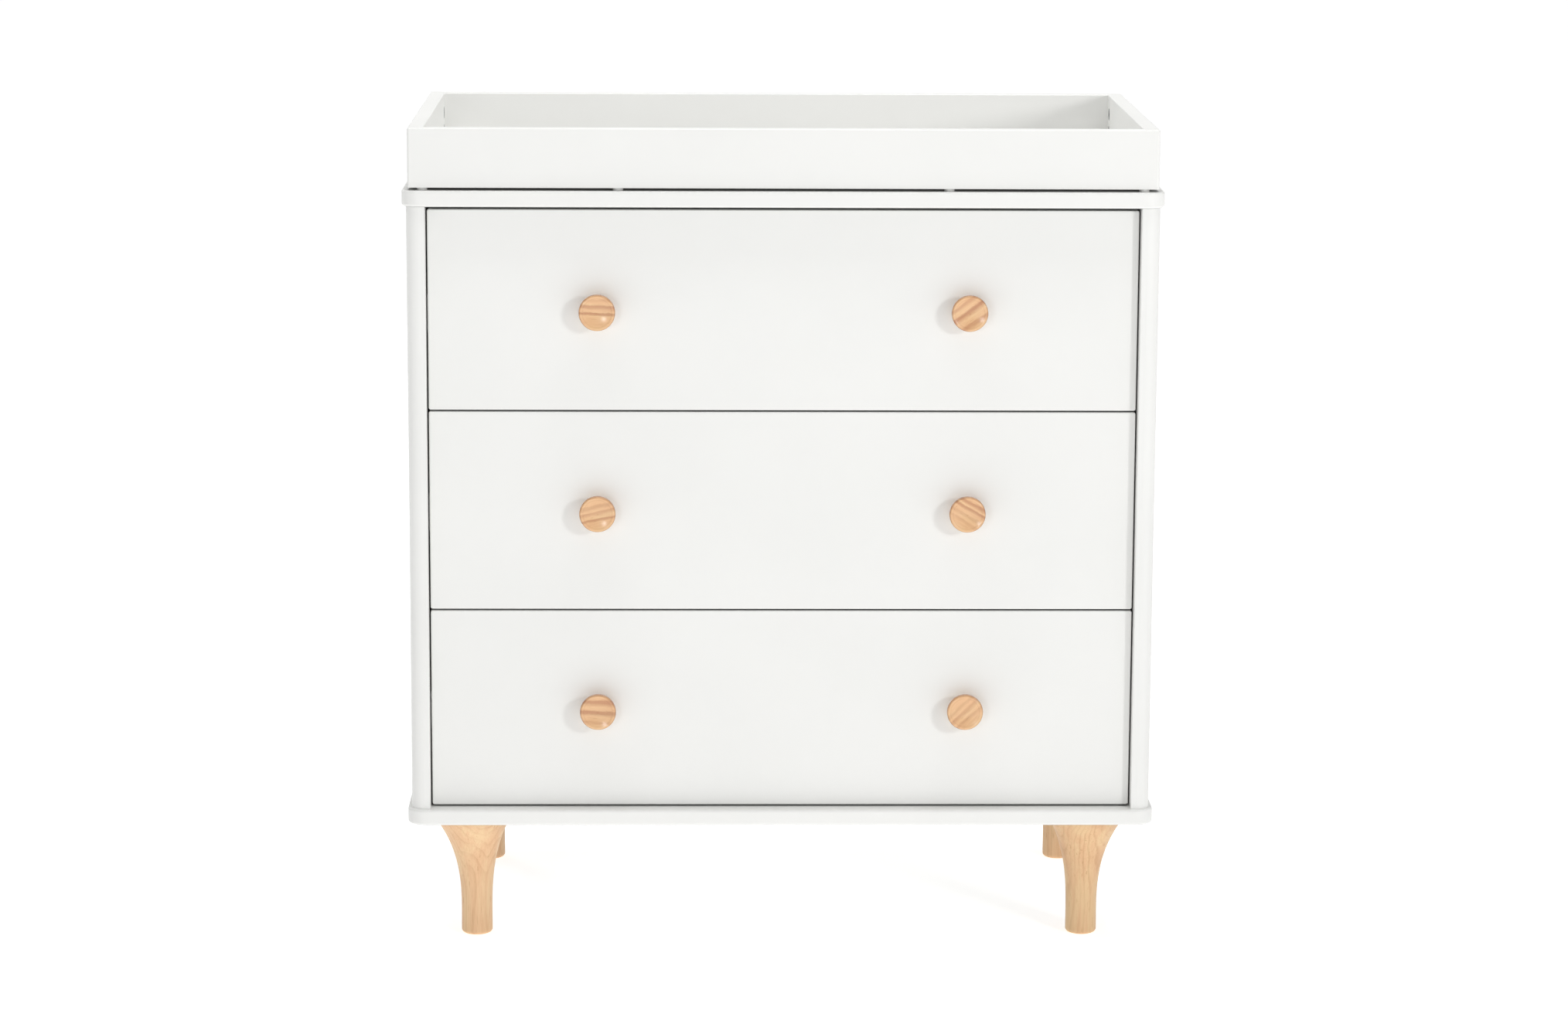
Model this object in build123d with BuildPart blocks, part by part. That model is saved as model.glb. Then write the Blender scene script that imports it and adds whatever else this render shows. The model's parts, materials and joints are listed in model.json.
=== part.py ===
from build123d import *
import os
from itertools import product

# Changing table: a three-drawer dresser on four turned legs, and a changing tray that lifts off its top.
# Sizes are in millimetres. +X points to the right, +Y to the back and +Z up. The origin is on the floor,
# under the centre of the whole outline, which reaches from the front of the knobs to the back of the top.

# Top and base planks, which share one outline
plank_width = 876.0
plank_depth = 489.0
plank_thickness = 18.6
plank_corner_radius = 22.0
plank_edge_round = 3.0

# Case
leg_height = 148.5
opening_height = 709.2  # between the two planks
side_thickness = 22.0
side_setback = 5.0  # of the sides behind the planks' edges
side_front_round = 15.0
side_inner_round = 1.2  # of the sides' front edges beside the drawers
back_thickness = 4.0
back_recess = 3.0  # of the back sheet in front of the sides' rear edges
back_rabbet_width = 10.0
back_rabbet_play = 0.5  # at each side of the back sheet
rail_height = 80.0
rail_thickness = 18.0
rail_edge_round = 1.0
rail_cam_drop = 24.0  # of the rail's cams under the top plank

# Legs: a straight round foot that flares into a wider head, which leans towards the case's corner
leg_inset = 77.5  # of the foot's centre from the plank's side edge
leg_inset_depth = 71.5  # of the foot's centre from the plank's front or back edge
foot_radius = 18.3
foot_edge_round = 4.5
head_radius = 48.5
head_lean = 4.5
flare_start = 25.0
flare_power = 2.7
leg_sections = 9

# Drawers
drawer_levels = ("bottom", "middle", "top")
front_height = 233.1
front_gap = 1.8
front_bottom_gap = 2.1
front_thickness = 18.0
front_recess = 14.0  # of the drawer fronts behind the sides' front edges
front_edge_round = 1.5
front_corner_round = 2.5
box_board = 12.0
box_height = 170.0
box_rise = 25.0  # of the box above the front's lower edge
box_length = 409.5
box_bottom_thickness = 5.0
box_bottom_rise = 10.0
groove_depth = 6.0
tongue_play = 0.5  # of a sheet's edge in its groove
groove_play = 0.1

# Knobs
knob_radius = 21.0
knob_base_radius = 12.5
knob_waist = (14.8, 11.0)  # a point of its flared side: radius, and distance from the drawer front
knob_length = 25.0
knob_dish = 2.8
knob_rim = 6.0
knob_lip_round = 2.4
knob_proud = 6.0  # of the knobs in front of the top plank
knob_spread = 428.4  # between the two knobs of a drawer
screw_in_knob = 14.0
knob_hole_play = 2.0  # beyond the screw's end

# Telescopic runners: three nested channels in the gap beside each drawer box
runner_gap = 12.7
runner_length = 400.0
runner_start = 2.5  # of the runners behind the drawer front
runner_sheet = 1.2
runner_bend = 2.4
case_channel = {"height": 45.0, "depth": 11.2, "inset": 0.0, "mouth": 38.0}
slide_channel = {"height": 37.4, "depth": 8.0, "inset": 2.4, "mouth": 31.8}
drawer_channel = {"height": 29.8, "depth": 7.7, "inset": 5.0, "mouth": 24.0}

# Changing tray
tray_width = 861.0
tray_depth = 474.0
tray_height = 68.0
tray_board = 18.0
tray_corner_round = 3.0
tray_edge_round = 1.5
tray_floor_thickness = 9.0
tray_tongue_thickness = 5.0
tray_floor_rise = 5.0
tray_floor_play = 0.3  # between the floor's raised field and the boards
pad_radius = 6.0
pad_height = 3.1
pad_columns = (-414.0, -190.0, 190.0, 414.0)

# Fittings
cam_radius = 7.4
cam_thickness = 12.6
cam_axis_depth = 9.0  # of the bolt's axis under the cam's face
cam_face_thickness = 3.0  # of the closed face over the slot for the bolt's end
cam_slot_start = -1.5  # from the cam's axis, towards the bolt
cam_slot_play = 1.0
cam_cross_length = 7.0  # of the cross recess that the screwdriver turns
cam_cross_width = 1.2
cam_cross_depth = 1.8
cam_bolt_radius = 3.4
cam_bolt_grip = 11.0
case_cam_setback = 24.0  # of the cam's centre from the joint
tray_cam_setback = 17.0
tray_cam_edge = 23.0  # of the tray's cams from the rim and from the lower edge
case_cam_reach = 190.0  # of the case's cams in front of and behind the case's middle
cam_dowel_spacing = 32.0
case_dowel_radius = 4.0
dowel_ahead = 12.0  # of a case dowel into the plank or the side that it meets
dowel_behind = 18.0
drawer_dowel_radius = 3.0
drawer_dowel_rises = (45.0, 130.0)
dowel_in_front = 12.0
dowel_in_side_end = 18.0
dowel_in_side_face = 8.0
dowel_in_back = 22.0
leg_bolt_spacing = 40.0
leg_bolt_radius = 3.0
leg_bolt_length = 32.0
leg_bolt_head_radius = 6.0
leg_bolt_head_height = 4.0
leg_bolt_socket_radius = 2.4
insert_radius = 5.0
insert_length = 18.0
leg_hole_depth = 22.0
hole_play = 0.1
anchor_hole_radius = 2.0
anchor_hole_depth = 20.0
anchor_hole_spacing = 560.0
knob_screw_radius = 2.0
knob_screw_head_radius = 4.2
knob_screw_head_height = 2.4
back_screw_radius = 1.5
back_screw_length = 16.0
back_screw_head_radius = 3.5
back_screw_head_height = 1.6
back_screw_drop = 60.0  # of the rail's screws under the top plank
back_screw_columns = (-330.0, -110.0, 110.0, 330.0)
back_screw_rises = (42.0, 191.0, 340.0, 489.0, 638.0)  # of the sides' screws over the base plank

# Levels and faces worked out from the sizes above
case_floor = leg_height + plank_thickness
case_ceiling = case_floor + opening_height
top_face = case_ceiling + plank_thickness
tray_base = top_face + pad_height
front_y = knob_proud - (plank_depth + knob_proud) / 2
back_y = front_y + plank_depth
middle_y = (front_y + back_y) / 2
outer_x = plank_width / 2 - side_setback
inner_x = outer_x - side_thickness
back_sheet_y = back_y - back_recess
back_inside_y = back_sheet_y - back_thickness
drawer_face_y = front_y + side_setback + front_recess
drawer_inner_y = drawer_face_y + front_thickness
box_x = inner_x - runner_gap
box_inner_x = box_x - box_board
box_back_y = drawer_inner_y + box_length
tray_x = tray_width / 2
tray_inner_x = tray_x - tray_board
tray_inner_depth = tray_depth - 2 * tray_board

hands = {"left": -1, "right": 1}
ends = {"front": -1, "back": 1}
LOW = (Align.CENTER, Align.CENTER, Align.MIN)
HIGH = (Align.CENTER, Align.CENTER, Align.MAX)

os.makedirs("parts", exist_ok=True)


def drill(planes, radius, depth):
    """Cut round holes into the active part, to this depth on whichever side of its plane the part lies."""
    with Locations(*planes):
        Hole(radius, depth)


def rods(planes, radius, ahead, behind):
    """Round rods that reach ahead of each plane along its normal, and behind it."""
    with BuildPart() as group:
        with Locations(*[plane.offset(-behind) for plane in planes]):
            Cylinder(radius, ahead + behind, align=LOW)
    return group.part


def cam_joint(meeting_point, towards, face_normal, setback):
    """The bolt's plane and the cam's plane of one joint. The bolt runs through meeting_point, towards
    the board that holds its thread. The cam is in the other board, under the face along face_normal."""
    bolt_plane = Plane(origin=meeting_point, x_dir=face_normal, z_dir=towards)
    cam_centre = Vector(meeting_point) - Vector(towards) * setback + Vector(face_normal) * cam_axis_depth
    return bolt_plane, Plane(origin=cam_centre, x_dir=towards, z_dir=face_normal)


def cam_locks(cam_planes):
    """Round cams, flush with the boards' faces, with a slot for the bolt's end and a cross recess."""
    slot_size = (cam_radius - cam_slot_start, 2 * cam_bolt_radius + cam_slot_play, cam_thickness)
    with BuildPart() as locks:
        with Locations(*cam_planes):
            Cylinder(cam_radius, cam_thickness, align=HIGH)
            for cross in ((cam_cross_length, cam_cross_width), (cam_cross_width, cam_cross_length)):
                Box(*cross, cam_cross_depth, align=HIGH, mode=Mode.SUBTRACT)
        with Locations(*[plane.offset(-cam_face_thickness) for plane in cam_planes]):
            with Locations((cam_slot_start, 0, 0)):
                slot_align = (Align.MIN, Align.CENTER, Align.MAX)
                Box(*slot_size, align=slot_align, mode=Mode.SUBTRACT)
    return locks.part


def cut_cam_seats(joints, setback):
    """Cut the cam's pocket and the bolt's passage into the active part, for each of its joints."""
    drill([cam for _, cam in joints], cam_radius + hole_play, cam_thickness + hole_play)
    drill([bolt for bolt, _ in joints], cam_bolt_radius + hole_play, setback)


def cut_bolt_threads(joints):
    """Cut the hole that holds each cam bolt's thread into the active part."""
    drill([bolt for bolt, _ in joints], cam_bolt_radius + hole_play, cam_bolt_grip + hole_play)


def cut_dowel_holes(planes, radius, depth):
    """Cut the holes for one end of the dowels into the active part."""
    drill(planes, radius + hole_play / 2, depth + hole_play)


# --- Joints of the case ---

case_joints = {hand: [] for hand in hands}
case_dowel_planes = {hand: [] for hand in hands}
for (hand, side), end, (level_z, up) in product(
    hands.items(), ends.values(), ((case_floor, -1), (case_ceiling, 1))
):
    joint_x = side * (inner_x + cam_axis_depth)
    joint_y = middle_y + end * case_cam_reach
    joint = cam_joint((joint_x, joint_y, level_z), (0, 0, up), (-side, 0, 0), case_cam_setback)
    case_joints[hand].append(joint)
    dowel_point = (joint_x, joint_y - end * cam_dowel_spacing, level_z)
    case_dowel_planes[hand].append(Plane(origin=dowel_point, z_dir=(0, 0, up)))

rail_y = back_inside_y - rail_thickness
rail_cam_z = case_ceiling - rail_cam_drop
rail_joints = {}
rail_dowel_planes = {}
for hand, side in hands.items():
    joint_point = Vector(side * inner_x, rail_y + cam_axis_depth, rail_cam_z)
    rail_joints[hand] = cam_joint(joint_point, (side, 0, 0), (0, -1, 0), case_cam_setback)
    dowel_point = joint_point - Vector(0, 0, cam_dowel_spacing)
    rail_dowel_planes[hand] = Plane(origin=dowel_point, z_dir=(side, 0, 0))

all_case_joints = [*case_joints["left"], *case_joints["right"], *rail_joints.values()]
all_case_dowels = [*case_dowel_planes["left"], *case_dowel_planes["right"], *rail_dowel_planes.values()]

anchor_hole_z = case_ceiling - rail_height / 2
anchor_hole_planes = [
    Plane(origin=(side * anchor_hole_spacing / 2, back_sheet_y, anchor_hole_z), z_dir=(0, 1, 0))
    for side in hands.values()
]

leg_centres = {
    f"{end_name}_{hand}": (
        side * (plank_width / 2 - leg_inset),
        middle_y + end * (plank_depth / 2 - leg_inset_depth),
    )
    for (hand, side), (end_name, end) in product(hands.items(), ends.items())
}
leg_bolt_planes = {
    name: [Plane(origin=(x + side * leg_bolt_spacing / 2, y, leg_height)) for side in hands.values()]
    for name, (x, y) in leg_centres.items()
}


# --- Planks ---

def plank(lower_face):
    with BuildPart() as board:
        with BuildSketch(Plane.XY.offset(lower_face)):
            with Locations((0, middle_y)):
                RectangleRounded(plank_width, plank_depth, plank_corner_radius)
        extrude(amount=plank_thickness)
        fillet(board.faces().filter_by(Axis.Z).edges(), plank_edge_round)
    return board.part


top_slab = plank(case_ceiling)
with BuildPart() as top_panel:
    add(top_slab)
    upper_joints = [joint for joint in all_case_joints if joint[0].z_dir.Z > 0.5]
    cut_bolt_threads(upper_joints)
    upper_dowels = [plane for plane in all_case_dowels if plane.z_dir.Z > 0.5]
    cut_dowel_holes(upper_dowels, case_dowel_radius, dowel_ahead)
top_panel.part.label = "top_panel"
export_step(top_panel.part, "parts/top_panel.step")

base_slab = plank(leg_height)
leg_bolt_head_planes = [plane.offset(plank_thickness) for pair in leg_bolt_planes.values() for plane in pair]
with BuildPart() as base_panel:
    add(base_slab)
    lower_joints = [joint for joint in all_case_joints if joint[0].z_dir.Z < -0.5]
    cut_bolt_threads(lower_joints)
    lower_dowels = [plane for plane in all_case_dowels if plane.z_dir.Z < -0.5]
    cut_dowel_holes(lower_dowels, case_dowel_radius, dowel_ahead)
    with Locations(*leg_bolt_head_planes):
        CounterBoreHole(leg_bolt_radius + 3 * hole_play, leg_bolt_head_radius + 5 * hole_play,
                        leg_bolt_head_height + hole_play, depth=plank_thickness)
base_panel.part.label = "base_panel"
export_step(base_panel.part, "parts/base_panel.step")


# --- Sides, back and rail ---

side_screw_planes = {
    hand: [
        Plane(origin=(side * (inner_x + back_rabbet_width / 2), back_sheet_y, z), z_dir=(0, 1, 0))
        for z in [case_floor + rise for rise in back_screw_rises]
    ]
    for hand, side in hands.items()
}
rail_screw_planes = [
    Plane(origin=(x, back_sheet_y, case_ceiling - back_screw_drop), z_dir=(0, 1, 0))
    for x in back_screw_columns
]
back_screw_planes = [*side_screw_planes["left"], *side_screw_planes["right"], *rail_screw_planes]

side_depth = plank_depth - side_setback
side_middle_y = back_y - side_depth / 2
for hand, side in hands.items():
    with BuildPart() as side_panel:
        with BuildSketch(Plane.XY.offset(case_floor)) as outline:
            with Locations((side * (inner_x + side_thickness / 2), side_middle_y)):
                Rectangle(side_thickness, side_depth)
            inner_corner, outer_corner = sorted(
                outline.vertices().group_by(Axis.Y)[0], key=lambda corner: side * corner.X
            )
            fillet(outer_corner, side_front_round)
            fillet(outline.vertices().sort_by_distance(inner_corner)[0], side_inner_round)
            with Locations((side * (inner_x + back_rabbet_width / 2), (back_inside_y + back_y) / 2)):
                Rectangle(back_rabbet_width, back_y - back_inside_y, mode=Mode.SUBTRACT)
        extrude(amount=opening_height)
        cut_cam_seats(case_joints[hand], case_cam_setback)
        cut_dowel_holes(case_dowel_planes[hand], case_dowel_radius, dowel_behind)
        cut_bolt_threads([rail_joints[hand]])
        cut_dowel_holes([rail_dowel_planes[hand]], case_dowel_radius, dowel_ahead)
        drill(side_screw_planes[hand], back_screw_radius + hole_play, back_screw_length + hole_play)
    side_panel.part.label = f"side_panel_{hand}"
    export_step(side_panel.part, f"parts/side_panel_{hand}.step")

with BuildPart() as anchor_rail:
    with Locations((0, rail_y + rail_thickness / 2, case_ceiling - rail_height / 2)):
        Box(2 * inner_x, rail_thickness, rail_height)
    fillet(anchor_rail.edges().filter_by(Axis.X).group_by(Axis.Z)[0], rail_edge_round)
    cut_cam_seats(rail_joints.values(), case_cam_setback)
    cut_dowel_holes(rail_dowel_planes.values(), case_dowel_radius, dowel_behind)
    drill(rail_screw_planes, back_screw_radius + hole_play, back_screw_length + hole_play)
    drill(anchor_hole_planes, anchor_hole_radius, anchor_hole_depth)
anchor_rail.part.label = "anchor_rail"
export_step(anchor_rail.part, "parts/anchor_rail.step")

with BuildPart() as back_panel:
    with Locations((0, back_sheet_y - back_thickness / 2, case_floor + opening_height / 2)):
        Box(2 * (inner_x + back_rabbet_width - back_rabbet_play), back_thickness, opening_height)
    drill(back_screw_planes, back_screw_radius + hole_play, back_thickness)
    drill(anchor_hole_planes, anchor_hole_radius, back_thickness)
back_panel.part.label = "back_panel"
export_step(back_panel.part, "parts/back_panel.step")


# --- Legs ---

def flare_at(height):
    """How much of the head's extra radius and lean the leg has at this height, from 0 to 1."""
    return max(0.0, (height - flare_start) / (leg_height - flare_start)) ** flare_power


section_heights = [0.0] + [
    flare_start + (leg_height - flare_start) * step / (leg_sections - 1) for step in range(leg_sections)
]
for name, (x, y) in leg_centres.items():
    lean_x = head_lean if x > 0 else -head_lean
    lean_y = head_lean if y > middle_y else -head_lean
    with BuildPart() as leg:
        for height in section_heights:
            flare = flare_at(height)
            with BuildSketch(Plane.XY.offset(height)):
                with Locations((x + lean_x * flare, y + lean_y * flare)):
                    Circle(foot_radius + (head_radius - foot_radius) * flare)
        loft()
        fillet(leg.faces().sort_by(Axis.Z)[0].edges(), foot_edge_round)
        drill(leg_bolt_planes[name], insert_radius + hole_play / 2, leg_hole_depth)
    leg.part.label = f"leg_{name}"
    export_step(leg.part, f"parts/leg_{name}.step")

with BuildPart() as leg_bolts:
    with Locations(*leg_bolt_head_planes):
        Cylinder(leg_bolt_head_radius, leg_bolt_head_height, align=HIGH)
        Cylinder(leg_bolt_radius, leg_bolt_head_height + leg_bolt_length, align=HIGH)
        Hole(leg_bolt_socket_radius, leg_bolt_head_height / 2)
leg_bolts.part.label = "leg_bolts"
export_step(leg_bolts.part, "parts/leg_bolts.step")

with BuildPart() as leg_inserts:
    with Locations(*[plane for pair in leg_bolt_planes.values() for plane in pair]):
        Cylinder(insert_radius, insert_length, align=HIGH)
        Hole(leg_bolt_radius + hole_play / 2, insert_length)
leg_inserts.part.label = "leg_inserts"
export_step(leg_inserts.part, "parts/leg_inserts.step")


# --- Fittings of the case ---

case_cam_locks = cam_locks([cam for _, cam in all_case_joints])
case_cam_locks.label = "case_cam_locks"
export_step(case_cam_locks, "parts/case_cam_locks.step")

case_cam_bolts = rods([bolt for bolt, _ in all_case_joints], cam_bolt_radius, cam_bolt_grip, case_cam_setback)
case_cam_bolts.label = "case_cam_bolts"
export_step(case_cam_bolts, "parts/case_cam_bolts.step")

case_dowels = rods(all_case_dowels, case_dowel_radius, dowel_ahead, dowel_behind)
case_dowels.label = "case_dowels"
export_step(case_dowels, "parts/case_dowels.step")

with BuildPart() as back_panel_screws:
    with Locations(*back_screw_planes):
        Cylinder(back_screw_head_radius, back_screw_head_height, align=LOW)
        Cylinder(back_screw_radius, back_screw_length, align=HIGH)
back_panel_screws.part.label = "back_panel_screws"
export_step(back_panel_screws.part, "parts/back_panel_screws.step")


# --- Runners ---

def channels(height, depth, inset, mouth, opens_outwards, middle_z):
    """A left and a right channel. inset is the clear distance from the case's side to the channel."""
    with BuildPart() as pair:
        for side in hands.values():
            with BuildSketch(Plane.XZ.offset(-drawer_inner_y - runner_start)):
                with Locations((side * (inner_x - inset - depth / 2), middle_z)):
                    RectangleRounded(depth, height, runner_bend)
                    inner_size = (depth - 2 * runner_sheet, height - 2 * runner_sheet)
                    RectangleRounded(*inner_size, runner_bend - runner_sheet, mode=Mode.SUBTRACT)
                    open_side = side if opens_outwards else -side
                    with Locations((open_side * depth / 2, 0)):
                        Rectangle(3 * runner_sheet, mouth, mode=Mode.SUBTRACT)
            extrude(amount=-runner_length)
    return pair.part


for index, level in enumerate(drawer_levels):
    lower_edge = case_floor + front_bottom_gap + index * (front_height + front_gap)
    runner_z = lower_edge + box_rise + box_height / 2
    for name, channel, opens_outwards in (
        (f"{level}_case_runners", case_channel, False),
        (f"{level}_slide_members", slide_channel, False),
        (f"{level}_drawer_runners", drawer_channel, True),
    ):
        runners = channels(**channel, opens_outwards=opens_outwards, middle_z=runner_z)
        runners.label = name
        export_step(runners, f"parts/{name}.step")


# --- Drawers ---

for index, level in enumerate(drawer_levels):
    lower_edge = case_floor + front_bottom_gap + index * (front_height + front_gap)
    box_z = lower_edge + box_rise
    groove_z = box_z + box_bottom_rise + box_bottom_thickness / 2
    groove_height = box_bottom_thickness + 2 * groove_play
    knob_z = lower_edge + front_height / 2
    box_corners = list(product(hands.values(), drawer_dowel_rises))
    front_dowels = [
        Plane(origin=(side * (box_x - box_board / 2), drawer_inner_y, box_z + rise), z_dir=(0, -1, 0))
        for side, rise in box_corners
    ]
    back_dowels = [
        Plane(origin=(side * box_inner_x, box_back_y - box_board / 2, box_z + rise), z_dir=(side, 0, 0))
        for side, rise in box_corners
    ]
    knob_planes = {
        hand: Plane(origin=(side * knob_spread / 2, drawer_face_y, knob_z), z_dir=(0, -1, 0))
        for hand, side in hands.items()
    }

    with BuildPart() as drawer_front:
        with Locations((0, drawer_face_y + front_thickness / 2, lower_edge + front_height / 2)):
            Box(2 * (inner_x - front_gap), front_thickness, front_height)
        fillet(drawer_front.edges().filter_by(Axis.Y), front_corner_round)
        fillet(drawer_front.faces().sort_by(Axis.Y)[0].edges(), front_edge_round)
        with Locations((0, drawer_inner_y - groove_depth / 2, groove_z)):
            Box(2 * (box_inner_x + groove_depth), groove_depth, groove_height, mode=Mode.SUBTRACT)
        cut_dowel_holes(front_dowels, drawer_dowel_radius, dowel_in_front)
        drill(knob_planes.values(), knob_screw_radius + hole_play, front_thickness)
    drawer_front.part.label = f"{level}_drawer_front"
    export_step(drawer_front.part, f"parts/{level}_drawer_front.step")

    for hand, side in hands.items():
        with BuildPart() as drawer_side:
            side_middle = (side * (box_x - box_board / 2), drawer_inner_y + box_length / 2)
            with Locations((*side_middle, box_z + box_height / 2)):
                Box(box_board, box_length, box_height)
            fillet(drawer_side.faces().sort_by(Axis.Z)[-1].edges().filter_by(Axis.Y), front_edge_round)
            with Locations((side * (box_inner_x + groove_depth / 2), side_middle[1], groove_z)):
                Box(groove_depth, box_length, groove_height, mode=Mode.SUBTRACT)
            cut_dowel_holes(front_dowels, drawer_dowel_radius, dowel_in_side_end)
            cut_dowel_holes(back_dowels, drawer_dowel_radius, dowel_in_side_face)
        drawer_side.part.label = f"{level}_drawer_side_{hand}"
        export_step(drawer_side.part, f"parts/{level}_drawer_side_{hand}.step")

    box_back_base = groove_z + groove_height / 2
    box_back_height = box_z + box_height - box_back_base
    with BuildPart() as drawer_back:
        with Locations((0, box_back_y - box_board / 2, box_back_base + box_back_height / 2)):
            Box(2 * box_inner_x, box_board, box_back_height)
        fillet(drawer_back.faces().sort_by(Axis.Z)[-1].edges().filter_by(Axis.X), front_edge_round)
        cut_dowel_holes(back_dowels, drawer_dowel_radius, dowel_in_back)
    drawer_back.part.label = f"{level}_drawer_back"
    export_step(drawer_back.part, f"parts/{level}_drawer_back.step")

    tongue = groove_depth - tongue_play
    with BuildPart() as drawer_bottom:
        with Locations((0, drawer_inner_y + (box_length - tongue) / 2, groove_z)):
            Box(2 * (box_inner_x + tongue), box_length + tongue, box_bottom_thickness)
    drawer_bottom.part.label = f"{level}_drawer_bottom"
    export_step(drawer_bottom.part, f"parts/{level}_drawer_bottom.step")

    front_pins = rods(front_dowels, drawer_dowel_radius, dowel_in_front, dowel_in_side_end)
    back_pins = rods(back_dowels, drawer_dowel_radius, dowel_in_side_face, dowel_in_back)
    with BuildPart() as drawer_dowels:
        add([front_pins, back_pins])
    drawer_dowels.part.label = f"{level}_drawer_dowels"
    export_step(drawer_dowels.part, f"parts/{level}_drawer_dowels.step")

    rim_start = knob_length - knob_rim
    rim_end = knob_length - knob_lip_round
    lip_radius = knob_radius - knob_lip_round
    dish_floor = knob_length - knob_dish
    dish_radius = (lip_radius**2 + knob_dish**2) / (2 * knob_dish)
    for hand, knob_plane in knob_planes.items():
        # The profile's second axis runs out of the drawer front, along the knob's own axis
        profile_plane = Plane(origin=knob_plane.origin, x_dir=(1, 0, 0), z_dir=(0, 0, -1))
        with BuildPart() as knob:
            with BuildSketch(profile_plane):
                with BuildLine():
                    Line((0, 0), (knob_base_radius, 0))
                    ThreePointArc((knob_base_radius, 0), knob_waist, (knob_radius, rim_start))
                    Line((knob_radius, rim_start), (knob_radius, rim_end))
                    RadiusArc((knob_radius, rim_end), (lip_radius, knob_length), -knob_lip_round)
                    RadiusArc((lip_radius, knob_length), (0, dish_floor), dish_radius)
                    Line((0, dish_floor), (0, 0))
                make_face()
            revolve(axis=Axis(knob_plane.origin, (0, -1, 0)))
            drill([knob_plane], knob_screw_radius + hole_play / 2, screw_in_knob + knob_hole_play)
        knob.part.label = f"{level}_knob_{hand}"
        export_step(knob.part, f"parts/{level}_knob_{hand}.step")

    with BuildPart() as knob_screws:
        with Locations(*[plane.offset(-front_thickness) for plane in knob_planes.values()]):
            Cylinder(knob_screw_radius, front_thickness + screw_in_knob, align=LOW)
            Cylinder(knob_screw_head_radius, knob_screw_head_height, align=HIGH)
    knob_screws.part.label = f"{level}_knob_screws"
    export_step(knob_screws.part, f"parts/{level}_knob_screws.step")


# --- Changing tray ---

tray_joints = {}
for (hand, side), (end_name, end) in product(hands.items(), ends.items()):
    joint_x = side * (tray_inner_x + cam_axis_depth)
    joint_y = middle_y + end * tray_inner_depth / 2
    tray_joints[hand, end_name] = [
        cam_joint((joint_x, joint_y, joint_z), (0, end, 0), (-side, 0, 0), tray_cam_setback)
        for joint_z in (tray_base + tray_cam_edge, tray_base + tray_height - tray_cam_edge)
    ]

tongue_z = tray_base + tray_floor_rise + tray_tongue_thickness / 2
tray_groove_height = tray_tongue_thickness + 2 * groove_play
for end_name, end in ends.items():
    board_y = middle_y + end * (tray_depth - tray_board) / 2
    with BuildPart() as long_board:
        with Locations((0, board_y, tray_base + tray_height / 2)):
            Box(tray_width, tray_board, tray_height)
        outer_face = long_board.faces().sort_by(Axis.Y)[0 if end < 0 else -1]
        fillet(outer_face.edges().filter_by(Axis.Z), tray_corner_round)
        fillet(long_board.faces().sort_by(Axis.Z)[-1].edges(), tray_edge_round)
        with Locations((0, middle_y + end * (tray_inner_depth + groove_depth) / 2, tongue_z)):
            Box(2 * (tray_inner_x + groove_depth), groove_depth, tray_groove_height, mode=Mode.SUBTRACT)
        for hand in hands:
            cut_bolt_threads(tray_joints[hand, end_name])
    long_board.part.label = f"tray_{end_name}_board"
    export_step(long_board.part, f"parts/tray_{end_name}_board.step")

for hand, side in hands.items():
    with BuildPart() as short_board:
        with Locations((side * (tray_x - tray_board / 2), middle_y, tray_base + tray_height / 2)):
            Box(tray_board, tray_inner_depth, tray_height)
        fillet(short_board.faces().sort_by(Axis.Z)[-1].edges().filter_by(Axis.Y), tray_edge_round)
        with Locations((side * (tray_inner_x + groove_depth / 2), middle_y, tongue_z)):
            Box(groove_depth, tray_inner_depth, tray_groove_height, mode=Mode.SUBTRACT)
        for end_name in ends:
            cut_cam_seats(tray_joints[hand, end_name], tray_cam_setback)
    short_board.part.label = f"tray_{hand}_board"
    export_step(short_board.part, f"parts/tray_{hand}_board.step")

tongue = groove_depth - tongue_play
with BuildPart() as tray_bottom_panel:
    with Locations((0, middle_y, tray_base + tray_floor_rise)):
        tongue_size = (2 * (tray_inner_x + tongue), tray_inner_depth + 2 * tongue)
        Box(*tongue_size, tray_tongue_thickness, align=LOW)
        field_size = (2 * (tray_inner_x - tray_floor_play), tray_inner_depth - 2 * tray_floor_play)
        Box(*field_size, tray_floor_thickness, align=LOW)
tray_bottom_panel.part.label = "tray_bottom_panel"
export_step(tray_bottom_panel.part, "parts/tray_bottom_panel.step")

all_tray_joints = [joint for corner in tray_joints.values() for joint in corner]
tray_cam_locks = cam_locks([cam for _, cam in all_tray_joints])
tray_cam_locks.label = "tray_cam_locks"
export_step(tray_cam_locks, "parts/tray_cam_locks.step")

tray_cam_bolts = rods([bolt for bolt, _ in all_tray_joints], cam_bolt_radius, cam_bolt_grip, tray_cam_setback)
tray_cam_bolts.label = "tray_cam_bolts"
export_step(tray_cam_bolts, "parts/tray_cam_bolts.step")

pad_rows = [middle_y + end * (tray_depth - tray_board) / 2 for end in ends.values()]
with BuildPart() as tray_pads:
    with Locations(*[(x, y, top_face) for x, y in product(pad_columns, pad_rows)]):
        Cylinder(pad_radius, pad_height, align=LOW)
tray_pads.part.label = "tray_pads"
export_step(tray_pads.part, "parts/tray_pads.step")
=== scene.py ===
import json
import math

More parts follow.
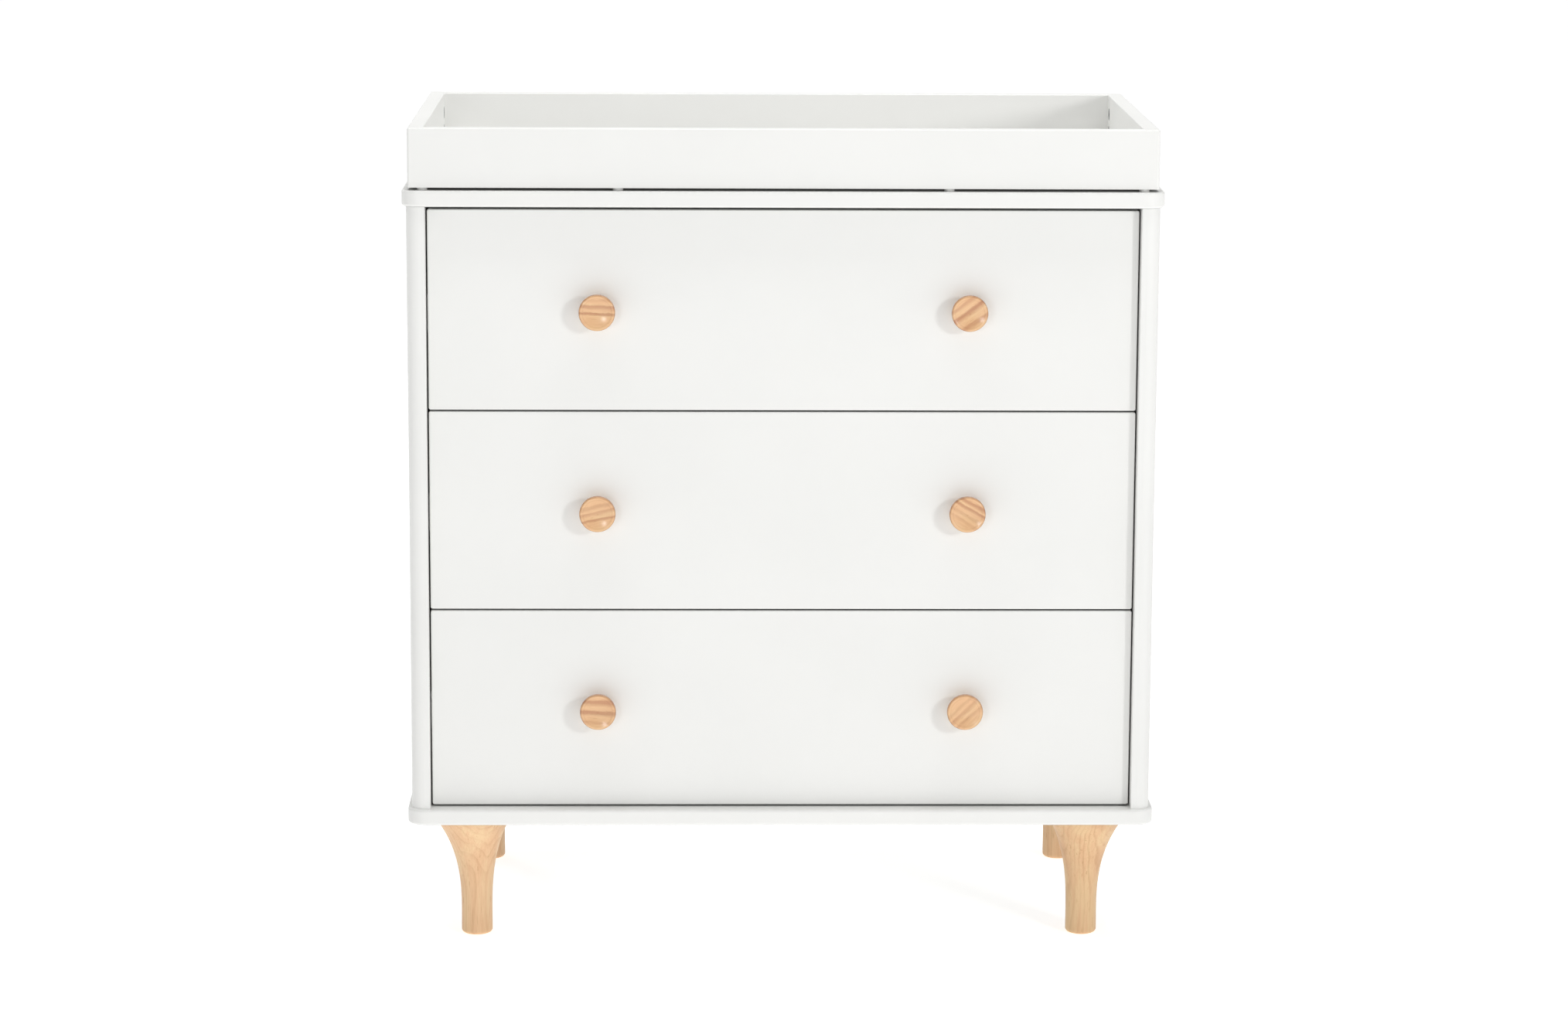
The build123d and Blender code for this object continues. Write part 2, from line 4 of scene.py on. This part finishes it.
import bmesh
import bpy
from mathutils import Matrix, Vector


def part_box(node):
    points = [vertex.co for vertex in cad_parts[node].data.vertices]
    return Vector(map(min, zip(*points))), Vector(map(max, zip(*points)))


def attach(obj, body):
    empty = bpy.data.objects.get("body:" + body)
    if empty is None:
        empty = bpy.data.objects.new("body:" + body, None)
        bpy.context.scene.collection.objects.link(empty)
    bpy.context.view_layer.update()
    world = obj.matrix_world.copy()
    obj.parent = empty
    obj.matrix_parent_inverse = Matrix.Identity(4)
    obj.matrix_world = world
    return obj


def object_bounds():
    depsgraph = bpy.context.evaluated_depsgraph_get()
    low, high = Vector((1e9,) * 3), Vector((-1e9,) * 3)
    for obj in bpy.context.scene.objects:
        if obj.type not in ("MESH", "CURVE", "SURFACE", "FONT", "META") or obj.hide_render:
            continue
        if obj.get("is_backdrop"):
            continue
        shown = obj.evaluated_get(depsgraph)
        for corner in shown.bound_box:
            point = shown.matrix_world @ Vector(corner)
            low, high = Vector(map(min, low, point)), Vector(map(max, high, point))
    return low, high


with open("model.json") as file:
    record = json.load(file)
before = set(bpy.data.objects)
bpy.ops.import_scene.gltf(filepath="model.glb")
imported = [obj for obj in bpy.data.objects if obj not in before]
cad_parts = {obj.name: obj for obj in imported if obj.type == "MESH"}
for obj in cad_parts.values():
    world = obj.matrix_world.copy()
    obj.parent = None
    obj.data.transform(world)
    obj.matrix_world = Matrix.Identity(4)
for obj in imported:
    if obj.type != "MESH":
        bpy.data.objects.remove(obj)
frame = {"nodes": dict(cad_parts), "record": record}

MM = 0.001
LEVELS = ("bottom", "middle", "top")
HANDS = {"left": -1, "right": 1}
AIM_HEIGHT = 0.5  # of the lights, near the middle of the case
DAYLIGHT = 0.325
# Softboxes: place, aim, sides and power. All distances are in metres and powers in watts.
SOFTBOXES = {
    "key": ((2.7, -3.6, 1.6), (0.0, -0.2, AIM_HEIGHT), (0.6, 0.6), 43.0),
    "fill": ((-1.16, -3.65, 1.05), (0.0, -0.2, AIM_HEIGHT), (0.5, 0.5), 11.0),
    "overhead": ((0.0, 0.1, 3.5), (0.0, 0.0, AIM_HEIGHT), (3.0, 2.4), 83.0),
    "rear": ((-2.4, 3.2, 2.2), (0.0, 0.2, AIM_HEIGHT), (1.4, 1.4), 20.0),
}
# The floor's glow: its strength near the object and beyond, and what is added far away, each with the
# distances from the object's middle between which it changes
FLOOR_REACH = 60.0
NEAR_GLOW = {"low": 0.64, "high": 0.20, "from_low": 0.40, "from_high": 0.90}
FAR_GLOW = {"low": 0.0, "high": 0.52, "from_low": 0.8, "from_high": 2.6}
# The camera, as fitted to the photograph's edges
CAMERA_LENS = 100.24
CAMERA_PLACE = (-0.1028, -5.210, 1.4486)
CAMERA_AIM = (0.0016, 0.006, 0.5289)  # its y is behind the front of the object's box
CAMERA_ROLL = 0.005
CAMERA_RANGE = 200.0
scene = bpy.context.scene
cad_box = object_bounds()
node_slots = {part["node"]: part["material_slot"] for part in frame["record"]["subparts"]}


# --- Material building ---

class Shader:
    """Builds the nodes of one material. Each call adds a node and returns its first output."""

    def __init__(self, name):
        self.material = bpy.data.materials.new(name)
        self.material.use_nodes = True
        self.tree = self.material.node_tree
        self.tree.nodes.clear()

    def add(self, kind, settings=None, **inputs):
        node = self.tree.nodes.new("ShaderNode" + kind)
        for key, value in (settings or {}).items():
            setattr(node, key, value)
        for key, value in inputs.items():
            self.fill(node.inputs[key.replace("_", " ")], value)
        return node.outputs[0]

    def fill(self, socket, value):
        if isinstance(value, bpy.types.NodeSocket):
            self.tree.links.new(value, socket)
        else:
            socket.default_value = value

    def place(self):
        """The point's place on the object at rest, in metres."""
        node = self.tree.nodes.new("ShaderNodeTexCoord")
        return node.outputs["Object"]

    def math(self, operation, first, second=0.0):
        node = self.tree.nodes.new("ShaderNodeMath")
        node.operation = operation
        self.fill(node.inputs[0], first)
        self.fill(node.inputs[1], second)
        return node.outputs[0]

    def length(self, vector, weights=(1.0, 1.0, 1.0)):
        """The vector's length, with each axis weighted."""
        weighted = self.add("VectorMath", {"operation": "MULTIPLY"}, Vector=vector)
        weighted.node.inputs[1].default_value = weights
        node = self.tree.nodes.new("ShaderNodeVectorMath")
        node.operation = "LENGTH"
        self.tree.links.new(weighted, node.inputs[0])
        return node.outputs["Value"]

    def turned(self, vector, origin, rotation):
        """The vector as seen from an origin, in axes that are turned by these Euler angles."""
        return self.add("Mapping", {"vector_type": "TEXTURE"}, Vector=vector, Location=origin,
                        Rotation=rotation)

    def scaled(self, vector, scale):
        return self.add("Mapping", Vector=vector, Scale=scale)

    def noise(self, vector, scale, detail=2.0, roughness=0.5, distortion=0.0):
        return self.add("TexNoise", Vector=vector, Scale=scale, Detail=detail, Roughness=roughness,
                        Distortion=distortion)

    def parts(self, vector):
        """The vector's X, Y and Z outputs."""
        node = self.tree.nodes.new("ShaderNodeSeparateXYZ")
        self.tree.links.new(vector, node.inputs[0])
        return node.outputs

    def ramp(self, factor, stops):
        node = self.tree.nodes.new("ShaderNodeValToRGB")
        elements = node.color_ramp.elements
        while len(elements) < len(stops):
            elements.new(0.5)
        for element, (place, colour) in zip(elements, stops):
            element.position = place
            element.color = (*colour, 1.0)
        self.tree.links.new(factor, node.inputs["Fac"])
        return node.outputs["Color"]

    def spread(self, factor, low, high, from_low=0.0, from_high=1.0):
        """The factor mapped to low..high as it goes from from_low to from_high."""
        return self.add("MapRange", Value=factor, From_Min=from_low, From_Max=from_high, To_Min=low,
                        To_Max=high)

    def mix(self, factor, first, second, blend="MIX"):
        node = self.tree.nodes.new("ShaderNodeMix")
        node.data_type = "RGBA"
        node.blend_type = blend
        self.fill(node.inputs[0], factor)
        for socket, value in ((node.inputs[6], first), (node.inputs[7], second)):
            self.fill(socket, value if isinstance(value, bpy.types.NodeSocket) else (*value, 1.0))
        return node.outputs[2]

    def bump(self, height, strength, distance, normal=None):
        inputs = {"Strength": strength, "Distance": distance, "Height": height}
        if normal is not None:
            inputs["Normal"] = normal
        return self.add("Bump", **inputs)

    def finish(self, **inputs):
        surface = self.add("BsdfPrincipled", **inputs)
        output = self.tree.nodes.new("ShaderNodeOutputMaterial")
        self.tree.links.new(surface, output.inputs["Surface"])
        return self.material


def painted_board(name, light, dark, roughness, peel=1.0, painted_underside_shade=None):
    """Sprayed satin paint on smooth board: faint clouds in the tone, an orange-peel surface, uneven gloss.
    Undersides may be given a darker colour, which is painted shade under the boards and in the gaps."""
    shader = Shader(name)
    place = shader.place()
    clouds = shader.noise(place, 5.0, detail=4.0, roughness=0.6)
    colour = shader.ramp(clouds, [(0.32, dark), (0.68, light)])
    # Surfaces that face down are darkened towards this grey: painted shade, which darkens the gaps under the
    # boards
    if painted_underside_shade:
        geometry = shader.tree.nodes.new("ShaderNodeNewGeometry")
        facing_up = shader.parts(geometry.outputs["Normal"])["Z"]
        underside_shade_mask = shader.spread(facing_up, 1.0, 0.0, -0.95, -0.6)
        colour = shader.mix(underside_shade_mask, colour, painted_underside_shade)
    specks = shader.noise(place, 260.0, detail=3.0)
    rough = shader.spread(specks, roughness - 0.07, roughness + 0.07, 0.3, 0.7)
    broad = shader.bump(shader.noise(place, 38.0), 0.02 * peel, 0.5 * MM)
    relief = shader.bump(shader.noise(place, 620.0), 0.10 * peel, 0.12 * MM, broad)
    return shader.finish(Base_Color=colour, Roughness=rough, Normal=relief, Specular_IOR_Level=0.4)


def finish_wood(shader, local, growth, gloss, coat, specular):
    """Colour zones, fibres and short pores over a growth pattern. The grain runs along the local Z axis."""
    zones = shader.noise(shader.scaled(local, (1.0, 1.0, 0.10)), 70.0, detail=3.0, roughness=0.6)
    zone_tint = shader.ramp(zones, [(0.38, (0.95, 0.89, 0.87)), (0.50, (0.99, 0.97, 0.96)),
                                    (0.62, (1.02, 1.07, 1.06))])
    fibre = shader.noise(shader.scaled(local, (1.0, 1.0, 0.035)), 1100.0, detail=3.0)
    fibre_tint = shader.ramp(fibre, [(0.30, (0.94, 0.92, 0.90)), (0.62, (1.0, 1.0, 1.0))])
    pores = shader.noise(shader.scaled(local, (1.0, 1.0, 0.08)), 620.0, detail=1.0)
    pore_tint = shader.ramp(pores, [(0.25, (0.84, 0.78, 0.72)), (0.34, (1.0, 1.0, 1.0))])
    colour = growth
    for tint in (zone_tint, fibre_tint, pore_tint):
        colour = shader.mix(1.0, colour, tint, "MULTIPLY")
    relief = shader.bump(pores, 0.15, 0.10 * MM, shader.bump(fibre, 0.15, 0.06 * MM))
    rough = shader.spread(fibre, gloss + 0.10, gloss - 0.06)
    return shader.finish(Base_Color=colour, Roughness=rough, Normal=relief, Specular_IOR_Level=specular,
                         Coat_Weight=coat, Coat_Roughness=0.16)


def ringed_wood(name, pith, turn, ring_width, tones):
    """Light wood sawn so that its growth rings show as lines along the grain and as loops where it flares.
    The rings lie round a pith line, which runs through the point along the turned Z axis."""
    shader = Shader(name)
    local = shader.turned(shader.place(), pith, turn)
    bend = shader.noise(shader.scaled(local, (1.0, 1.0, 0.10)), 30.0, detail=2.0)
    wobble = shader.spread(bend, -1.5 * ring_width, 1.5 * ring_width, 0.2, 0.8)
    radius = shader.math("ADD", shader.length(local, (1.0, 1.0, 0.0)), wobble)
    rings = shader.math("FRACT", shader.math("DIVIDE", radius, ring_width))
    early, late = tones
    growth = shader.ramp(rings, [(0.0, early), (0.55, early), (0.86, late), (0.93, late), (1.0, early)])
    fade = shader.noise(shader.scaled(local, (1.0, 1.0, 0.15)), 45.0)
    softened = shader.mix(shader.spread(fade, 0.15, 1.0, 0.35, 0.65), early, growth)
    return finish_wood(shader, local, softened, 0.50, 0.06, 0.28)


def banded_wood(name, centre, grain_angle, radius, bands, tones):
    """Light wood across whose round face a few dark growth bands run, each at its own distance from the
    centre."""
    shader = Shader(name)
    # The local Z axis lies along the grain in the face, and the local X axis across it
    local = shader.turned(shader.place(), centre, (0.0, math.radians(90.0 - grain_angle), 0.0))
    bend = shader.noise(shader.scaled(local, (1.0, 1.0, 0.35)), 75.0, detail=2.0)
    jag = shader.noise(shader.scaled(local, (1.0, 1.0, 0.5)), 420.0, detail=2.0)
    wobble = shader.math("ADD", shader.spread(bend, -2.6 * MM, 2.6 * MM),
                         shader.spread(jag, -0.8 * MM, 0.8 * MM))
    across = shader.math("ADD", shader.math("MULTIPLY", shader.parts(local)["X"], -1.0), wobble)
    place = shader.spread(across, 0.0, 1.0, -radius, radius)
    early, late = tones
    stops = [(0.0, early)]
    for height, width, strength in bands:
        middle = 0.5 + height * MM / (2 * radius)
        half = width * MM / (4 * radius)
        dark = tuple(a + (b - a) * strength for a, b in zip(early, late))
        stops += [(middle - half, early), (middle, dark), (middle + half / 2, dark), (middle + half, early)]
    growth = shader.ramp(place, stops)
    # Painted shade: a faint darker ring where the dish begins, and a darker rim where the rounded edge turns
    # away from the light
    from_axis = shader.length(local, (1.0, 0.0, 1.0))
    rim = shader.spread(from_axis, 0.0, 1.0, radius - 5.0 * MM, radius - 0.2 * MM)
    rim_painted_shade = shader.ramp(rim, [(0.0, (1.0, 1.0, 1.0)), (0.18, (0.92, 0.89, 0.86)), (0.34, (1.0, 1.0, 1.0)),
                                 (0.66, (1.0, 1.0, 1.0)), (1.0, (0.66, 0.57, 0.50))])
    return finish_wood(shader, local, shader.mix(1.0, growth, rim_painted_shade, "MULTIPLY"), 0.36, 0.7, 0.35)


def plain_wood(name, light, dark, stretch):
    """Unfinished or thinly lacquered wood with fine straight grain along the axis whose stretch is small."""
    shader = Shader(name)
    local = shader.scaled(shader.place(), stretch)
    bands = shader.noise(local, 120.0, detail=5.0, roughness=0.65)
    colour = shader.ramp(bands, [(0.34, dark), (0.62, light)])
    fibre = shader.noise(local, 900.0, detail=3.0)
    rough = shader.spread(bands, 0.5, 0.65)
    return shader.finish(Base_Color=colour, Roughness=rough, Normal=shader.bump(fibre, 0.2, 0.1 * MM),
                         Specular_IOR_Level=0.35)


def plated_metal(name, light, dark, roughness, stretch):
    """Zinc-plated steel: fine rolling or turning lines, spangled tone and a little tarnish."""
    shader = Shader(name)
    place = shader.place()
    spangle = shader.noise(place, 240.0, detail=3.0, roughness=0.6)
    colour = shader.ramp(spangle, [(0.35, dark), (0.65, light)])
    lines = shader.noise(shader.scaled(place, stretch), 1500.0, detail=2.0)
    rough = shader.spread(lines, roughness - 0.08, roughness + 0.1)
    return shader.finish(Base_Color=colour, Metallic=1.0, Roughness=rough,
                         Normal=shader.bump(lines, 0.15, 0.03 * MM))


def soft_rubber(name, light, dark):
    """Matte pale rubber with a fine pebbled skin."""
    shader = Shader(name)
    grain = shader.noise(shader.place(), 1800.0, detail=3.0)
    colour = shader.ramp(grain, [(0.3, dark), (0.7, light)])
    return shader.finish(Base_Color=colour, Roughness=shader.spread(grain, 0.62, 0.8),
                         Normal=shader.bump(grain, 0.3, 0.08 * MM))


WHITE = (0.845, 0.845, 0.825)
WHITE_SHADE = (0.825, 0.826, 0.806)
materials = {
    # The grey on the boards' undersides is painted shade
    "white_paint": painted_board("white_paint", WHITE, WHITE_SHADE, 0.42, painted_underside_shade=(0.30, 0.31, 0.30)),
    "drawer_box_wood": painted_board("drawer_box_lacquer", (0.80, 0.80, 0.775), (0.77, 0.765, 0.735),
                                     0.5, 1.6),
    "white_sheet": painted_board("white_sheet", (0.78, 0.775, 0.75), (0.75, 0.745, 0.715), 0.55, 2.0),
    "birch_dowel": plain_wood("birch_dowel", (0.66, 0.50, 0.32), (0.56, 0.40, 0.24), (1.0, 1.0, 0.2)),
    "zinc_steel": plated_metal("zinc_steel", (0.70, 0.70, 0.69), (0.58, 0.58, 0.57), 0.32, (1.0, 1.0, 0.2)),
    "cast_zinc": plated_metal("cast_zinc", (0.34, 0.34, 0.35), (0.24, 0.24, 0.25), 0.5, (1.0, 1.0, 1.0)),
    "runner_steel": plated_metal("runner_steel", (0.68, 0.68, 0.67), (0.57, 0.57, 0.56), 0.30,
                                 (1.0, 0.03, 1.0)),
    "pad_rubber": soft_rubber("pad_rubber", (0.80, 0.80, 0.78), (0.74, 0.74, 0.72)),
}

# Tones of the early and the late wood, of the left legs, the right legs and the knobs. The right legs' tones
# are darker, which is painted shade
LEG_TONES = ((0.81, 0.55, 0.33), (0.735, 0.475, 0.275))
RIGHT_LEG_SHADED_TONES = ((0.745, 0.495, 0.285), (0.66, 0.415, 0.23))
KNOB_TONES = ((0.80, 0.50, 0.27), (0.56, 0.28, 0.14))


def assign(node, material):
    """Give a CAD node or a piece one material in every slot."""
    obj = frame["nodes"].get(node) or bpy.data.objects[node]
    obj.data.materials.clear()
    obj.data.materials.append(material)


def middle_of(node):
    low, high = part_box(node)
    return (low + high) / 2


for node, slot_name in node_slots.items():
    if slot_name in materials:
        assign(node, materials[slot_name])
# The tray's floor is a sheet painted a little less white than the paint round it: painted shade, where the
# light from above and from the tray's walls would make it brighter
assign("tray_bottom_panel", painted_board("tray_floor_shaded_paint", (0.79, 0.79, 0.77), (0.77, 0.77, 0.75), 0.5))

# Legs: the grain runs up each leg. The pith passes at its own distance beside and behind the leg's axis,
# and leans by its own angles, in degrees.
RING_WIDTH = 6.4 * MM
LEG_PITHS = {
    "leg_front_left": ((-22.0, 46.0), (2.0, 1.5)),
    "leg_front_right": ((52.0, -26.0), (-1.0, 2.0)),
    "leg_back_left": ((30.0, 50.0), (-2.0, 1.5)),
    "leg_back_right": ((-44.0, 36.0), (1.5, -2.0)),
}
for node, ((aside, behind), lean) in LEG_PITHS.items():
    middle = middle_of(node)
    pith = (middle.x + aside * MM, middle.y + behind * MM, middle.z)
    turn = (math.radians(lean[0]), math.radians(lean[1]), 0.0)
    # The right legs get the darker tones: painted shade
    tones = RIGHT_LEG_SHADED_TONES if "right" in node else LEG_TONES
    assign(node, ringed_wood(node + "_wood", pith, turn, RING_WIDTH, tones))

# Knobs: how far the grain rises to the right across the face, in degrees, and the dark bands from the
# lowest to the highest: distance above the centre and width in millimetres, and strength
KNOB_GRAIN = {
    "top_knob_left": (-2.0, ((-1.5, 4.5, 1.0), (6.5, 7.5, 0.85), (14.0, 4.0, 0.35))),
    "top_knob_right": (36.0, ((-12.5, 8.0, 0.7), (1.5, 8.5, 1.0), (12.0, 6.5, 0.6))),
    "middle_knob_left": (13.0, ((-6.5, 4.5, 0.8), (1.0, 5.5, 0.5), (8.5, 7.0, 0.55))),
    "middle_knob_right": (-30.0, ((-9.0, 5.0, 0.3), (-2.0, 6.0, 0.45), (6.5, 6.0, 0.95), (13.0, 6.0, 0.9))),
    "bottom_knob_left": (-3.0, ((-13.0, 5.0, 0.35), (-1.5, 7.5, 1.0), (11.0, 9.5, 0.95))),
    "bottom_knob_right": (44.0, ((-8.0, 5.5, 0.4), (0.0, 6.0, 0.5), (8.0, 6.0, 0.4))),
}
for node, (angle, bands) in KNOB_GRAIN.items():
    low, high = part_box(node)
    radius = (high.x - low.x) / 2
    assign(node, banded_wood(node + "_wood", middle_of(node), angle, radius, bands, KNOB_TONES))


# --- Screws of the drawers' runners ---

# Radius and height of each ring of a head, from the recess's floor to the outer edge, in millimetres
HEAD_RINGS = ((1.1, 0.5), (1.2, 1.35), (2.0, 1.25), (2.8, 0.9), (3.3, 0.4), (3.4, 0.0))
RECESS_RADIUS = 1.5  # rings inside this are square
HEAD_SEGMENTS = 24
HEAD_EDGE_ANGLE = 50.0  # in degrees: sharper edges than this stay crisp
SCREW_SHARES = (0.12, 0.5, 0.88)  # of the runner's length


def screw_heads(name, points, facing):
    """Low domed heads with a square recess, on the x faces whose side is given for each point."""
    shape = bmesh.new()
    for point, side in zip(points, facing):
        rings = []
        for radius, height in HEAD_RINGS:
            ring = []
            for step in range(HEAD_SEGMENTS):
                angle = 2 * math.pi * step / HEAD_SEGMENTS
                reach = radius
                if radius < RECESS_RADIUS:
                    reach = radius / max(abs(math.cos(angle)), abs(math.sin(angle)))
                offset = Vector((side * height, reach * math.cos(angle), reach * math.sin(angle)))
                ring.append(shape.verts.new(point + offset * MM))
            rings.append(ring)
        shape.faces.new(rings[0])
        for inner, outer in zip(rings, rings[1:]):
            for step in range(HEAD_SEGMENTS):
                following = (step + 1) % HEAD_SEGMENTS
                shape.faces.new((inner[step], outer[step], outer[following], inner[following]))
        shape.faces.new(rings[-1][::-1])
    bmesh.ops.recalc_face_normals(shape, faces=shape.faces)
    mesh = bpy.data.meshes.new(name)
    shape.to_mesh(mesh)
    shape.free()
    piece = bpy.data.objects.new(name, mesh)
    scene.collection.objects.link(piece)
    piece.data.shade_smooth()
    edge_split = piece.modifiers.new("edges", "EDGE_SPLIT")
    edge_split.split_angle = math.radians(HEAD_EDGE_ANGLE)
    return piece


RUNNER_SHEET = 1.2 * MM
for level in LEVELS:
    low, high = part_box(f"{level}_drawer_runners")
    height = (low.z + high.z) / 2
    points, facing = [], []
    for side in HANDS.values():
        # The runner's web lies against the drawer's side
        side_low, side_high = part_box(f"{level}_drawer_side_{'right' if side > 0 else 'left'}")
        web = (side_high.x if side > 0 else side_low.x) + side * RUNNER_SHEET
        for share in SCREW_SHARES:
            points.append(Vector((web, low.y + (high.y - low.y) * share, height)))
            facing.append(side)
    screws = screw_heads(f"{level}_runner_screws", points, facing)
    screws.data.materials.append(materials["zinc_steel"])
    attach(screws, f"{level}_drawer")


# --- Floor, light and camera ---

def stage_floor():
    """A plain pale floor that glows a little, most of all under the object and far away, so that it stays
    as pale as the background."""
    mesh = bpy.data.meshes.new("floor")
    corners = [(x * FLOOR_REACH, y * FLOOR_REACH, 0.0) for x, y in ((-1, -1), (1, -1), (1, 1), (-1, 1))]
    mesh.from_pydata(corners, [], [(0, 1, 2, 3)])
    floor = bpy.data.objects.new("floor", mesh)
    scene.collection.objects.link(floor)
    shader = Shader("floor_paper")
    place = shader.place()
    distance = shader.length(place)
    near = shader.spread(distance, **NEAR_GLOW)
    far = shader.spread(distance, **FAR_GLOW)
    tone = shader.noise(place, 3.0, detail=3.0)
    colour = shader.ramp(tone, [(0.3, (0.90, 0.90, 0.90)), (0.7, (0.92, 0.92, 0.92))])
    mesh.materials.append(shader.finish(Base_Color=colour, Roughness=0.9, Specular_IOR_Level=0.1,
                                        Emission_Color=(1.0, 1.0, 1.0, 1.0),
                                        Emission_Strength=shader.math("ADD", near, far)))
    floor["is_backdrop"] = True


def softbox(name, place, aim, sides, power):
    """A soft light that the camera doesn't see."""
    light = bpy.data.lights.new(name, "AREA")
    light.shape = "RECTANGLE"
    light.size, light.size_y = sides
    light.energy = power
    lamp = bpy.data.objects.new(name, light)
    lamp.location = place
    lamp.rotation_euler = (Vector(aim) - Vector(place)).to_track_quat("-Z", "Y").to_euler()
    lamp.visible_camera = False
    scene.collection.objects.link(lamp)


def daylight(strength):
    """Even light from all round. Seen directly it is plain white."""
    world = bpy.data.worlds.new("studio")
    world.use_nodes = True
    tree = world.node_tree
    light_path = tree.nodes.new("ShaderNodeLightPath")
    seen = tree.nodes.new("ShaderNodeMapRange")
    seen.inputs["To Min"].default_value = strength
    seen.inputs["To Max"].default_value = 1.0
    tree.links.new(light_path.outputs["Is Camera Ray"], seen.inputs["Value"])
    background = tree.nodes["Background"]
    background.inputs["Color"].default_value = (1.0, 1.0, 1.0, 1.0)
    tree.links.new(seen.outputs["Result"], background.inputs["Strength"])
    scene.world = world


def photo_camera():
    """The camera at the photograph's viewing angle."""
    camera = bpy.data.objects.new("camera", bpy.data.cameras.new("camera"))
    camera.data.sensor_width = 36.0
    camera.data.lens = CAMERA_LENS
    camera.data.clip_end = CAMERA_RANGE
    camera.location = CAMERA_PLACE
    aim = Vector(CAMERA_AIM) + Vector((0.0, cad_box[0].y, 0.0))
    camera.rotation_euler = (aim - camera.location).to_track_quat("-Z", "Y").to_euler()
    camera.rotation_euler.rotate_axis("Z", CAMERA_ROLL)
    scene.collection.objects.link(camera)
    scene.camera = camera


scene.view_settings.view_transform = "Standard"
stage_floor()
daylight(DAYLIGHT)
for light_name, settings in SOFTBOXES.items():
    softbox(light_name, *settings)
photo_camera()

low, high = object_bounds()
